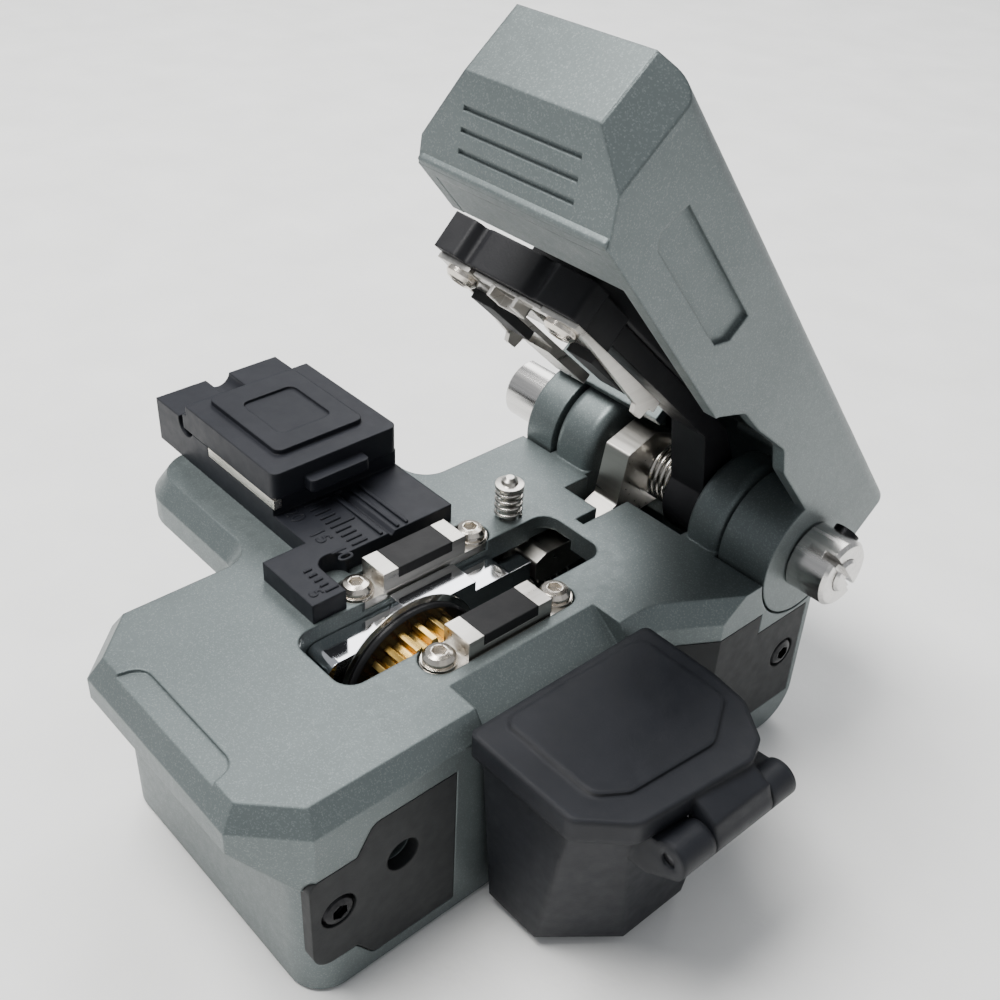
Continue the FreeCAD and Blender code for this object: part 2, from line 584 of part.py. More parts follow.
def make_lower_anvils():
    screws, washers, pads = [], [], []
    for name, sign in (("left", "-"), ("right", "+")):
        centre = f"(blade_side {sign} anvil_spread)"
        anvil = new_body(f"lower_anvil_{name}", at=(centre, "0", "0"))
        reach = "anvil_flange_half"
        pad(anvil, "XY", ANVIL_FLOOR, "anvil_flange",
            box_corners(f"-{reach}", f"{FIRST_SCREW} - {reach}", reach, f"{LAST_SCREW} + {reach}", f"{reach} - 0.01"))
        pad(anvil, "XY", ANVIL_FLOOR, f"anvil_top - {ANVIL_FLOOR}",
            box_corners("-anvil_width/2", "anvil_front", "anvil_width/2", "anvil_rear"))
        pocket(anvil, "XY", "anvil_top - pad_thick", "pad_thick + 1",
               box_corners("-anvil_width", "pad_front", "anvil_width", "pad_rear"))
        pads.append(new_body(f"lower_pad_{name}", at=(centre, "0", "0")))
        pad(pads[-1], "XY", "anvil_top - pad_thick", "pad_thick",
            box_corners("-anvil_width/2", "pad_front", "anvil_width/2", "pad_rear"))
        for number, back in enumerate((FIRST_SCREW, LAST_SCREW), start=1):
            pocket(anvil, "XY", f"{ANVIL_FLOOR} - 1", "anvil_flange + 2", ("0", back, "screw_shank + screw_hole_gap"))
            washer = new_body(f"washer_{name}_{number}", at=(centre, back, ANVIL_SHELF))
            pad(washer, "XY", "0", "washer_thick", ("0", "0", "washer_radius"))
            pocket(washer, "XY", "-1", "washer_thick + 2", ("0", "0", "screw_shank + screw_hole_gap"))
            washers.append(washer)
            screws.append(make_screw(f"anvil_screw_{name}_{number}", "base",
                                     (centre, back, f"{ANVIL_SHELF} + washer_thick")))
    group("lower_pads", pads)
    group("anvil_washers", washers)
    group("anvil_screws", screws)


make_lower_anvils()


# ------------------------------------------------------------------ blade carriage
RAIL_SIDE = "(blade_side - blade_thick/2 - blade_gap - carriage_thick/2)"


def make_carriage():
    rail = new_body("guide_rail", at=(RAIL_SIDE, "0", "chamber_floor"))
    pad(rail, "XY", "0", "rail_height", box_corners("-rail_width/2", "rail_front", "rail_width/2", "rail_rear"))
    for side in ("-", ""):
        pocket(rail, "XZ", "rail_front - 1", "rail_rear - rail_front + 2",
               (f"{side}rail_width/2", "rail_height*0.55", "rail_height*0.2"))
    carriage = new_body("blade_carriage")
    plate = f"{CARRIAGE_FACE} - carriage_thick"
    pad(carriage, "YZ", plate, "carriage_thick", [
        ("carriage_front", "carriage_bottom", "1"), ("carriage_rear", "carriage_bottom", "1"),
        ("carriage_rear", "tail_low"), ("carriage_rear + tail_reach", "tail_low"),
        ("carriage_rear + tail_reach", "tail_high"), ("carriage_rear", "tail_high"),
        ("carriage_rear", "carriage_top", "1"), ("mirror_rear", "carriage_top"),
        ("mirror_rear", "mirror_top"), ("mirror_front", "mirror_top"), ("mirror_front", "carriage_top"),
        ("carriage_front", "carriage_top", "1.5")])
    pocket(carriage, "YZ", f"{plate} + tail_width", "carriage_thick",
           box_corners("carriage_rear", "tail_low - 1", "carriage_rear + tail_reach + 1", "tail_high + 1"))
    pad(carriage, "XZ", "foot_front", "foot_rear - foot_front", [
        (f"{RAIL_SIDE} - rail_width/2 - 2", "chamber_floor + 0.5"), (f"{RAIL_SIDE} - rail_width/2 - rail_gap", "chamber_floor + 0.5"),
        (f"{RAIL_SIDE} - rail_width/2 - rail_gap", "chamber_floor + rail_height + rail_gap"),
        (f"{RAIL_SIDE} + rail_width/2 + rail_gap", "chamber_floor + rail_height + rail_gap"),
        (f"{RAIL_SIDE} + rail_width/2 + rail_gap", "chamber_floor + 0.5"), ("foot_right", "chamber_floor + 0.5"),
        ("foot_right", "carriage_bottom + 0.6"), (f"{RAIL_SIDE} - rail_width/2 - 2", "carriage_bottom + 0.6")])
    pocket(carriage, "YZ", f"{plate} - 1", "carriage_thick + 2",
           ("blade_rest_back", "blade_height", "axle_radius + running_gap"))
    lug = new_body("carriage_spring_post", at=("0", "0", "0"))
    pad(lug, "YZ", f"{plate} - 3.4", "3.4", box_corners("carriage_rear - 3", "spring_height - 1.5", "carriage_rear - 1", "spring_height + 1.5"))


def make_blade_wheel():
    centre = ("blade_side", "blade_rest_back", "blade_height")
    bore = "axle_radius + running_gap"
    blade = new_body("blade_disc", at=centre)
    revolve(blade, [("-blade_thick/2", bore), ("blade_thick/2", bore), ("blade_thick/2", "blade_radius - 1.2"),
                    ("0", "blade_radius"), ("-blade_thick/2", "blade_radius - 1.2")], axis="H_Axis")
    hub = new_body("blade_hub", at=centre)
    revolve(hub, [("blade_thick/2", bore), ("blade_thick/2 + hub_thick", bore),
                  ("blade_thick/2 + hub_thick", "hub_radius - 0.3"), ("blade_thick/2 + hub_thick - 0.3", "hub_radius"),
                  ("blade_thick/2", "hub_radius")], axis="H_Axis")
    gear = new_body("blade_gear", at=centre)
    start = "blade_thick/2 + hub_thick"
    pad(gear, "YZ", start, "gear_width", ("0", "0", "gear_root"))
    base_half = "gear_root*tan(180/gear_teeth)*0.62"
    tip_half = "gear_radius*tan(180/gear_teeth)*0.32"
    tooth = pad(gear, "YZ", start, "gear_width", [
        (f"-{base_half}", "gear_root - 0.4"), (base_half, "gear_root - 0.4"), (base_half, "gear_root"),
        (tip_half, "gear_radius"), (f"-{tip_half}", "gear_radius"), (f"-{base_half}", "gear_root")])
    ring = gear.newObject("PartDesign::PolarPattern", "gear_teeth_ring")
    ring.Originals = [tooth]
    ring.Axis = ([item for item in gear.Origin.OriginFeatures if item.Role == "X_Axis"][0], [""])
    ring.Angle = 360
    bind(ring, "Occurrences", "gear_teeth")
    gear.Tip = ring
    doc.recompute()
    pocket(gear, "YZ", "0", "gear_width + 3", ("0", "0", bore))
    axle = new_body("blade_axle", at=centre)
    head = "blade_thick/2 + hub_thick + gear_width + 0.1"
    revolve(axle, [("-blade_thick/2 - blade_gap - carriage_thick + 0.5", "0"), (f"{head} + axle_head_thick", "0"),
                   (f"{head} + axle_head_thick", "axle_head_radius - 0.3"),
                   (f"{head} + axle_head_thick - 0.3", "axle_head_radius"), (head, "axle_head_radius"),
                   (head, "axle_radius"), ("-blade_thick/2 - blade_gap - carriage_thick + 0.5", "axle_radius")],
            axis="H_Axis")


make_carriage()
make_blade_wheel()


# ------------------------------------------------------------------ plunger
def make_plunger():
    place = ("-plunger_side", "plunger_back", "0")
    pin = new_body("plunger_pin", at=place)
    low = "deck_height - deck_wall - plunger_tail"
    revolve(pin, [("0", low), ("plunger_radius", low), ("plunger_radius", "plunger_spring_top + 0.05"),
                  ("plunger_cap", "plunger_spring_top + 0.05"), ("plunger_cap", "plunger_spring_top + 0.5"),
                  ("plunger_radius", "plunger_spring_top + 0.6"), ("plunger_radius*0.9", "plunger_top - 0.35"),
                  ("plunger_radius*0.5", "plunger_top"), ("0", "plunger_top")])


make_plunger()


# ------------------------------------------------------------------ lid
def make_lid():
    lid = new_body("lid_shell", "lid")
    height = "lid_top - lid_floor"
    back = "ear_radius"
    pad(lid, "XY", "lid_floor", height, [
        ("-lid_left", "lid_front + lid_left_cut"), ("lid_left_cut - lid_left", "lid_front"),
        ("lid_right - lid_right_cut", "lid_front"), ("lid_right", "lid_front + lid_right_cut"),
        ("lid_right", back), ("-left_ear_out", back), ("-left_ear_out", "bridge_front"),
        ("-lid_left", "bridge_front", "lid_root")])
    below = "lid_floor - 1"
    pocket(lid, "YZ", "-lid_right", "3*lid_right", [
        ("lid_front - 1", below), ("lid_slope_end", below), ("lid_slope_end", "lid_floor"),
        ("lid_front", "lid_nose"), ("lid_front - 1", "lid_nose")])
    top = amount("lid_top")
    long_edges = edges_where(
        lid, lambda middle, edge: level_edge(edge) and near(middle.z, top) and edge.BoundBox.YLength > 10
        and edge.BoundBox.XLength < 1)
    dress(lid, "Fillet", long_edges, "lid_round")
    pocket(lid, "YZ", "-lid_right", "3*lid_right", [
        ("lid_step_start", below), ("lid_step_start", "lid_floor", "1.5"),
        ("lid_step_end - 2", "lid_step_height - 0.3", "1.5"), ("lid_step_end + 2", "lid_step_height"),
        ("lid_dip_start", "lid_dip_height", "1.5"), ("lid_dip_start + 3", "bridge_low", "1.5"),
        ("ear_radius + 1", "bridge_low"), ("ear_radius + 1", below)])
    for share in (0.3, 0.5, 0.7):
        ends = [share, share + 0.05]
        nose = [(f"lid_front + {end}*(lid_slope_end - lid_front)", f"lid_nose + {end}*(lid_floor - lid_nose)") for end in ends]
        depth = "nose_groove_depth"
        pocket(lid, "YZ", "nose_groove_start", "nose_groove_length", [
            (f"{nose[0][0]} - {depth}", f"{nose[0][1]} - {depth}"), (f"{nose[0][0]} + {depth}", f"{nose[0][1]} + {depth}"),
            (f"{nose[1][0]} + {depth}", f"{nose[1][1]} + {depth}"), (f"{nose[1][0]} - {depth}", f"{nose[1][1]} - {depth}")])
    inner_top = "lid_top - lid_wall"
    slope = "lid_wall*1.35"
    pocket(lid, "YZ", "-lid_left + lid_wall", "lid_left + lid_right - 2*lid_wall - lid_left + 0.4", [
        (f"lid_slope_end + {slope}", below), (f"lid_front + lid_wall", f"lid_nose + {slope}*0.62"),
        ("lid_front + lid_wall", inner_top, "1"), ("ear_radius - lid_wall", inner_top, "1"),
        ("ear_radius - lid_wall", below)])
    pocket(lid, "XY", "bridge_low - 1", f"{inner_top} - bridge_low + 1",
           box_corners("-left_ear_out + lid_wall", "bridge_front + lid_wall", "lid_wall", "ear_radius - lid_wall"))
    pocket(lid, "YZ", "-lid_left - 1", "lid_wall + 2", [
        ("lid_front + lid_left_cut + 8", below), ("bridge_front", below), ("bridge_front", "lid_left_wall_low"),
        ("lid_front + lid_left_cut + 8", "lid_left_wall_low", "2")])
    pocket(lid, "YZ", "-left_ear_in", "left_ear_in + right_knuckle_out + ear_gap",
           ("0", "0", "ear_radius + ear_gap"))
    ears = [("-left_ear_out", "left_ear_out - left_ear_in"),
            ("right_knuckle_out + ear_gap", "right_ear_out - right_knuckle_out - ear_gap")]
    for start, length in ears:
        pad(lid, "YZ", start, length, ("0", "0", "ear_radius"))
    pocket(lid, "YZ", "-flare_half", "2*flare_half + 1", ("0", "0", "shaft_radius + running_gap"))
    pocket(lid, "YZ", "lid_right - side_recess_depth", "side_recess_depth + 1", [
        ("side_recess_front", "side_recess_low + 1"), ("side_recess_front + 1", "side_recess_low"),
        ("side_recess_rear - 1.5", "side_recess_low"), ("side_recess_rear", "side_recess_low + 1.5"),
        ("side_recess_rear", "side_recess_high"), ("side_recess_front + 0.6", "side_recess_high")])
    return lid


# ------------------------------------------------------------------ hinge shaft and what it carries
def make_shaft():
    shaft = new_body("hinge_shaft", "lid")
    start = "-left_ear_out - 0.5 - left_collar_length + 1"
    finish = "right_ear_out + 0.2 + collar_length + shaft_proud"
    revolve(shaft, [(start, "0"), (finish, "0"), (finish, "shaft_radius - 0.3"),
                    (f"{finish} - 0.3", "shaft_radius"), (start, "shaft_radius")], axis="H_Axis")
    pocket(shaft, "YZ", f"{finish} - 0.8", "1", box_corners("-3", "-0.35", "3", "0.35"))
    right = new_body("shaft_collar_right", "lid")
    near_end = "right_ear_out + 0.2"
    revolve(right, [(near_end, "shaft_radius + running_gap"), (f"{near_end} + collar_length", "shaft_radius + running_gap"),
                    (f"{near_end} + collar_length", "collar_radius - 0.4"),
                    (f"{near_end} + collar_length - 0.4", "collar_radius"), (near_end, "collar_radius")], axis="H_Axis")
    pocket(right, "YZ", f"{near_end} + collar_length - 1.6", "2",
           box_corners("-5", "-collar_slot/2", "5", "collar_slot/2"))
    left = new_body("shaft_collar_left", "lid")
    far_end = "-(left_ear_out + 0.5 + left_collar_length)"
    revolve(left, [(far_end, "0"), (f"{far_end} + 1", "0"), (f"{far_end} + 1", "shaft_radius + running_gap"),
                   ("-left_ear_out - 0.5", "shaft_radius + running_gap"), ("-left_ear_out - 0.5", "collar_radius"),
                   (f"{far_end} + 0.4", "collar_radius"), (far_end, "collar_radius - 0.4")], axis="H_Axis")
    pocket(left, "YZ", f"{far_end} - 0.1", "left_collar_length - 1.5",
           box_corners("-5", "collar_radius - 1.1", "5", "collar_radius + 1"))
    hole = f"{near_end} + collar_length/2 - 0.3"
    pocket(right, "XY", "shaft_radius + 0.3", "4", (hole, "0", "set_screw_radius + 0.02"))
    plug = new_body("collar_set_screw", "lid", (hole, "0", "0"))
    pad(plug, "XY", "shaft_radius + 0.35", "collar_radius - shaft_radius + 0.15", ("0", "0", "set_screw_radius"))
    key = "set_screw_radius*0.5"
    pocket(plug, "XY", "collar_radius - 0.7", "2",
           [(f"{key}*cos({60 * step})", f"{key}*sin({60 * step})") for step in range(6)])


def make_lever():
    lever = new_body("return_lever", "lid")
    rise, run = "lever_dip", "lever_reach"
    half = "lever_width/2"
    turn = "lid_open"
    def opened(back, up):
        """A point given as it lies with the lid open, turned back to the shut lid."""
        return f"({back})*cos({turn}) - ({up})*sin({turn})", f"({back})*sin({turn}) + ({up})*cos({turn})"
    corners = [(f"-{run}", f"-{rise} - {half}*0.5"), (f"-{run} + 1.6", f"-{rise} - {half}"),
               ("-9.6", "-7.9"), ("-6.8", "-6.2"), ("-3", "-lever_hub + 0.3"), ("3", "-lever_hub + 1"),
               ("3", "lever_hub - 2"), ("-1.5", "lever_hub"), ("-6.2", "lever_hub - 1.6"),
               ("-7.4", "-2.6"), ("-11.2", "-4.4"), (f"-{run} + 1.6", f"-{rise} + {half}"), (f"-{run}", f"-{rise} + {half}*0.6")]
    pad(lever, "YZ", "-lever_left", "lever_thick", [(*opened(*corner), "0.5") for corner in corners])
    pocket(lever, "YZ", "-lever_left - 1", "lever_thick + 2", ("0", "0", "shaft_radius + running_gap"))


# ------------------------------------------------------------------ pad arm and upper anvils
def make_arm():
    arm = new_body("pad_arm", "arm")
    front = "arm_front"
    pad(arm, "XY", "arm_low", "arm_high - arm_low", [
        ("-arm_left", front), ("-arm_left + 3", front, "0.7"), ("-arm_left + 3.9", f"{front} + lobe_front", "0.6"),
        ("-arm_left + 5", f"{front} + 0.5", "0.7"), ("4.6", f"{front} + 0.5", "0.8"),
        ("5.6", f"{front} + lobe_front", "0.8"), ("6.8", f"{front} + 0.5", "0.8"),
        ("arm_right", f"{front} + 0.5", "0.5"), ("arm_right", f"{front} + 3"), ("arm_right - 0.7", f"{front} + 3.4"),
        ("arm_right - 0.7", f"{front} + 9", "0.5"), ("-arm_left", f"{front} + 9", "0.5")])
    pad(arm, "YZ", "arm_spine_left", "arm_spine_right - arm_spine_left", [
        (f"{front} + 8", "arm_spine_low"), ("-sleeve_radius - 7", "arm_spine_low"), ("-3", "-2.5"),
        ("0", "-2.5"), ("0", "3"), ("-3", "4"), ("-sleeve_radius - 4", "arm_spine_high"),
        (f"{front} + 8", "arm_spine_high")])
    pad(arm, "YZ", "sleeve_left", "sleeve_right - sleeve_left", ("0", "0", "sleeve_radius"))
    pocket(arm, "YZ", "0", "2*arm_spine_right", ("0", "0", "shaft_radius + running_gap"))
    for sign in ("-", "+"):
        pocket(arm, "XY", "arm_low - 1", "screw_reach + 1.2",
               (f"blade_side {sign} anvil_spread", "upper_screw_back", "screw_shank"))


def make_upper_anvils():
    meet = "anvil_top - hinge_height + pad_meet"
    seat = "arm_low - 0.02"
    plate_low = "arm_low - upper_plate*0.6"
    pads, screws = [], []
    for name, sign in (("left", "-"), ("right", "+")):
        centre = f"(blade_side {sign} anvil_spread)"
        anvil = new_body(f"upper_anvil_{name}", "arm")
        half = "anvil_width/2"
        spread = f"{half} + 0.1 + upper_cheek"
        left, right = (spread, half) if name == "left" else (half, spread)
        plate = box_corners(f"{centre} - ({left})", "upper_front", f"{centre} + {right}", "upper_rear")
        pad(anvil, "XY", plate_low, f"{seat} - ({plate_low})",
            plate)
        outer = f"({centre} {sign} ({half} + 0.1 + upper_cheek))"
        inner = f"({centre} {sign} ({half} + 0.1))"
        low, high = (outer, inner) if name == "left" else (inner, outer)
        rear = "upper_rear + 7.5" if name == "left" else "upper_rear"
        pad(anvil, "YZ", low, f"{high} - {low}", [
            ("upper_front + 1.4", plate_low), ("upper_rear - 3.4", f"{meet} - 0.2"), ("upper_rear - 2.9", f"{meet} - 1"),
            ("upper_rear - 1.4", f"{meet} - 1"), ("upper_rear - 1", f"{meet} + 0.4"), (rear, f"{meet} + 0.4"),
            (rear, f"{seat}"), ("upper_front + 1.4", f"{seat}")])
        if name == "left":
            pad(anvil, "YZ", f"{centre} - {half}", "anvil_width", [
                ("upper_rear - 1", f"{meet} + 0.4"), (rear, f"{meet} + 0.4"), (rear, seat), ("upper_rear - 1", seat)])
        pads.append(new_body(f"upper_pad_{name}", "arm"))
        pad(pads[-1], "XY", meet, f"{plate_low} - ({meet})",
            box_corners(f"{centre} - {half} + 0.25", "pad_front - hinge_back", f"{centre} + {half} - 0.25", "pad_rear - hinge_back"))
        pocket(anvil, "XY", f"{plate_low} - 1", "upper_plate + 2", (centre, "upper_screw_back", "screw_shank + screw_hole_gap"))
        screw = make_screw(f"upper_screw_{name}", "arm", (centre, "upper_screw_back", plate_low))
        flip = FreeCAD.Rotation(FreeCAD.Vector(-1, 0, 0), amount("lid_open - arm_droop"))
        screws.append(turned(screw, flip, (1, 0, 0), 180))
    group("upper_pads", pads)
    group("upper_screws", screws)


make_lid()
make_shaft()
make_lever()
make_arm()
make_upper_anvils()


# ------------------------------------------------------------------ fibre holder on the wing
def make_holder():
    floor = "deck_height"
    holder = new_body("fibre_holder")
    notch = "holder_foot_front + 4.2"
    pad(holder, "XY", floor, "holder_plate", [
        ("-holder_step", "holder_front"), ("-holder_foot_left", "holder_front"),
        ("-holder_foot_left", "holder_foot_front"), ("-3.1", "holder_foot_front"), ("-3.1", notch),
        ("-9.3", notch, "1.7"), ("-9.3", f"{notch} + 3.6", "1.7"), ("-holder_near", f"{notch} + 3.6"),
        ("-holder_near", "holder_rear"), ("-holder_step", "holder_rear")])
    pad(holder, "XY", floor, "holder_high", box_corners("-holder_far", "holder_front", "-holder_step + 0.01", "holder_rear"))
    pocket(holder, "XY", f"{floor} + holder_pin_low", "holder_high", box_corners(
        "-clamp_far - 0.2", "holder_front - 1", "-holder_step + 1", "holder_rear + 1"))
    pocket(holder, "XZ", "holder_front - 1", "holder_rear - holder_front + 2",
           ("-clamp_far + 1.3", f"{floor} + holder_pin_low + 0.7", "lid_end_swing"))
    pad(holder, "XY", f"{floor} + holder_pin_low - 2.5", "4.2", box_corners(
        "-clamp_far + 0.3", "groove_side - 2", "-clamp_far + 2.3", "groove_side + 2"))
    pocket(holder, "XZ", "holder_front - 1", "holder_rear - holder_front + 2",
           ("-clamp_far + 1.3", f"{floor} + holder_pin_low + 0.7", "clamp_pin_radius + running_gap"))
    pocket(holder, "YZ", "-holder_step + 0.5", "holder_step - holder_near", [
        ("groove_side - 0.5", f"{floor} + holder_plate + 1"), ("groove_side - 0.5", f"{floor} + holder_plate"),
        ("groove_side", f"{floor} + holder_plate - 0.5"), ("groove_side + 0.5", f"{floor} + holder_plate"),
        ("groove_side + 0.5", f"{floor} + holder_plate + 1")])
    pocket(holder, "YZ", "-holder_far - 1", "holder_far - clamp_far + 1.2",
           ("groove_side", f"{floor} + holder_high + 0.3", "1.7"))
    strip = new_body("holder_strip")
    pocket(holder, "XY", f"{floor} + strip_low - 0.02", "strip_high - strip_low + 2",
           box_corners("-strip_far - 0.1", "holder_front - 1", "-holder_step + 1", "holder_front + strip_thick + 0.1"))
    pad(strip, "XY", f"{floor} + strip_low", "holder_pin_low - strip_low - 0.02",
        box_corners("-strip_far", "holder_front", "-holder_step + 0.3", "holder_front + strip_thick"))
    lid = new_body("holder_lid")
    base = f"{floor} + holder_pin_low + 0.06"
    pad(lid, "XY", base, "clamp_thick", box_corners("-clamp_far", "holder_front", "-clamp_near", "holder_rear", "1"))
    pad(lid, "XY", base, "clamp_thick + 0.6", box_corners(
        "-clamp_far + 2.6", "holder_front + 2.6", "-clamp_near - 3", "holder_rear - 2.6", "1"))
    pad(lid, "XY", f"{base} + 0.3", "1.5", box_corners(
        "-clamp_near - 1", "groove_side - 4.6", "-clamp_near + 1.6", "groove_side + 3.4", "0.6"))
    pocket(lid, "XY", f"{base} - 1", "3.2", box_corners(
        "-clamp_far - 1", "groove_side - 2.2", "-clamp_far + 3", "groove_side + 2.2"))
    pocket(lid, "XZ", "holder_front + 1", "holder_rear - holder_front - 2",
           ("-clamp_far + 1.3", f"{floor} + holder_pin_low + 0.7", "clamp_pin_radius + running_gap"))
    across, up = "(-clamp_far + 1.3)", f"({floor} + holder_pin_low + 0.7)"
    round_end = [("-1.3", "0.2"), ("-0.9", "0.95"), ("-0.2", "1.3"), ("0.4", "1.5"), ("0.4", "4"), ("-2", "4"), ("-2", "0.2")]
    pocket(lid, "XZ", "holder_front - 1", "holder_rear - holder_front + 2",
           [(f"{across} + ({side})", f"{up} + ({rise})") for side, rise in round_end])
    pocket(lid, "XY", f"{base} + clamp_thick + 0.3", "1", box_corners(
        "-clamp_far + 6", "holder_front + 5", "-clamp_near - 6", "holder_rear - 5", "1"))
    pin = new_body("holder_lid_pin")
    pad(pin, "XZ", "holder_front + 1.1", "holder_rear - holder_front - 2.2",
        ("-clamp_far + 1.3", f"{floor} + holder_pin_low + 0.7", "clamp_pin_radius"))


make_holder()


# ------------------------------------------------------------------ scrap bin
def bin_loft(body, kind, levels, inset):
    """A loft through the plan of the bin at two levels, inset by a wall."""
    plans = [
        [("20.2", "24"), ("27.2", "24"), ("33.0", "31.1"), ("33.0", "40"), ("29", "bin_rear - 0.2"), ("20.2", "bin_rear - 0.2")],
        [("bin_inner", "23.2"), ("31.4", "23.2"), ("34.9", "26.9"), ("36.2", "39.4"), ("33.2", "bin_rear"), ("bin_inner", "bin_rear")],
    ]
    signs = [("+", "+"), ("-", "+"), ("-", "+"), ("-", "-"), ("-", "-"), ("+", "-")]
    drawings = []
    for level, plan in zip(levels, plans):
        drawing = sketch(body, "XY", level)
        outline(drawing, [(f"{across} {sign[0]} {inset}", f"{back} {sign[1]} {inset}")
                          for (across, back), sign in zip(plan, signs)])
        drawings.append(drawing)
    loft = body.newObject(f"PartDesign::{kind}", f"{body.Label}_{kind.lower()}")
    loft.Profile = drawings[0]
    loft.Sections = [drawings[1]]
    doc.recompute()
    return loft


def make_scrap_bin():
    hopper = new_body("scrap_bin")
    bin_loft(hopper, "AdditiveLoft", ("bin_bottom", "bin_top"), "0")
    pin = ("scrap_pin_side", "scrap_pin_height")
    for start, length in (("28", "4.3"), ("40.7", "3.3")):
        pad(hopper, "XZ", start, length, (*pin, "scrap_knuckle"))
        pad(hopper, "XZ", start, length, [
            ("34", "scrap_pin_height - 4"), ("36.5", "scrap_pin_height - 3.7"),
            ("scrap_pin_side + 1.2", "scrap_pin_height - 1.6"),
            ("scrap_pin_side - 1.5", "scrap_pin_height + 1.3"), ("34", "scrap_pin_height + 0.9")])
    bin_loft(hopper, "SubtractiveLoft", ("bin_bottom + bin_wall", "bin_top + 0.01"), "bin_wall")
    pocket(hopper, "YZ", "bin_inner - 1", "bin_wall + 1.5",
           box_corners("25.5", "bin_top - 4", "42.5", "bin_top + 1"))
    pocket(hopper, "XZ", "27", "18", (*pin, "scrap_pin_radius"))
    lid = new_body("scrap_lid")
    plan = [("scrap_lid_inner", "scrap_lid_front", "0.8"), ("32.4", "scrap_lid_front", "1.5"),
            ("36.6", "26.0", "2.5"), ("38.0", "39.9", "2"), ("36.8", "42.6", "1.5"), ("32.5", "scrap_lid_rear - 0.6", "2"),
            ("28", "scrap_lid_rear", "2"), ("scrap_lid_inner", "scrap_lid_rear", "0.8")]
    pad(lid, "XY", "scrap_lid_top - 2.7", "2.7", plan)
    pocket(lid, "XY", "scrap_lid_top - 4.2", "4.2 - scrap_lid_thick", [
        ("scrap_lid_inner - 1", "22.9"), ("31.7", "22.9"), ("35.2", "26.6"), ("36.6", "39.6"), ("33.5", "44.7"),
        ("scrap_lid_inner - 1", "44.7")])
    pad(lid, "XZ", "32.6", "7.8", (*pin, "scrap_knuckle"))
    pad(lid, "XZ", "32.6", "7.8", [
        ("36.9", "scrap_lid_top - 2.8"), ("scrap_pin_side - 1.4", "scrap_pin_height - 0.4"), ("scrap_pin_side + 1.9", "scrap_pin_height + 0.4"),
        ("scrap_pin_side + 1.2", "scrap_pin_height + 2.4"), ("36.9", "scrap_lid_top - 0.4")])
    pocket(lid, "XZ", "32", "9", (*pin, "scrap_pin_radius + running_gap"))
    for start, length in (("27.8", "4.8"), ("40.4", "3.8")):
        pocket(lid, "XZ", start, length, (*pin, "scrap_knuckle + 0.3"))
    pad(lid, "XY", "scrap_lid_top - 0.5", "0.8", [
        ("19.6", "25", "1.5"), ("31.6", "25", "2"), ("33.6", "28", "2"), ("34.4", "38.6", "2"), ("31", "44.2", "2"), ("19.6", "44.2", "1.5")])
    hinge = new_body("scrap_hinge_pin")
    pad(hinge, "XZ", "28.4", "15.2", (*pin, "scrap_pin_radius - 0.02"))


make_scrap_bin()


# ------------------------------------------------------------------ springs
def make_coil(label, radius, wire, pitch, turns, placement, legs=()):
    """A helical spring along local Z, swept from the sheet's sizes, with optional straight legs."""
    helix = Part.makeHelix(pitch, pitch * turns, radius)
    profile = Part.Wire(Part.makeCircle(wire / 2, FreeCAD.Vector(radius, 0, 0), FreeCAD.Vector(0, 1, 0)))
    shape = Part.Wire(helix).makePipeShell([profile], True, True)
    for leg_start, leg_end in legs:
        run = leg_end - leg_start
        shape = shape.fuse(Part.makeCylinder(wire / 2, run.Length, leg_start, run))
    spring = doc.addObject("Part::Feature", label)
    spring.Label = label
    spring.Shape = shape
    spring.Placement = placement
    return spring


def in_lid_frame(angle, along, rotation):
    """Placement of a piece on the hinge axis, at a distance along it."""
    base = FreeCAD.Vector(along, amount("hinge_back - origin_back"), amount("hinge_height"))
    return FreeCAD.Placement(base, FreeCAD.Rotation(FreeCAD.Vector(-1, 0, 0), angle).multiply(rotation))


def make_springs():
    wire = amount("coil_wire")
    start, finish = 0.15, amount("sleeve_left") - 0.15
    pitch = (finish - start - wire) / amount("coil_turns")
    make_coil("torsion_spring", amount("coil_radius") - wire / 2, wire, pitch, amount("coil_turns"),
              in_lid_frame(amount("lid_open"), start + wire / 2, FreeCAD.Rotation(FreeCAD.Vector(0, 1, 0), 90)))
    wire = amount("plunger_spring_wire")
    length = amount("plunger_spring_top - deck_height") - wire
    place = FreeCAD.Vector(-amount("plunger_side"), amount("plunger_back - origin_back"), amount("deck_height") + wire / 2)
    make_coil("plunger_spring", amount("plunger_cap") - wire / 2, wire, length / 4, 4, FreeCAD.Placement(place, FreeCAD.Rotation()))
    wire = amount("spring_wire")
    back = amount("carriage_rear") - 1
    length = amount("chamber_rear") - back - wire - 0.1
    place = FreeCAD.Vector(amount(f"{CARRIAGE_FACE} - carriage_thick") - 2.0, back - amount("origin_back") + wire / 2 + 0.05,
                           amount("spring_height"))
    make_coil("carriage_spring", amount("spring_radius") - wire / 2, wire, length / 8, 8,
              FreeCAD.Placement(place, FreeCAD.Rotation(FreeCAD.Vector(1, 0, 0), -90)))


make_springs()


# ------------------------------------------------------------------ checks and files
NODES = [
    "base_body", "bottom_cover", "front_side_cover", "rear_side_cover", "cover_screws", "bottom_screws",
    "rubber_sole", "lower_anvil_left", "lower_anvil_right", "lower_pads", "anvil_washers", "anvil_screws",
    "guide_rail", "blade_carriage", "carriage_spring_post", "carriage_spring", "blade_axle", "blade_disc",
    "blade_hub", "blade_gear", "plunger_pin", "plunger_spring", "lid_shell", "hinge_shaft",
    "shaft_collar_right", "shaft_collar_left", "collar_set_screw", "return_lever", "torsion_spring",
    "pad_arm", "upper_anvil_left", "upper_anvil_right", "upper_pads", "upper_screws", "fibre_holder",
    "holder_strip", "holder_lid", "holder_lid_pin", "scrap_bin", "scrap_lid", "scrap_hinge_pin",
]


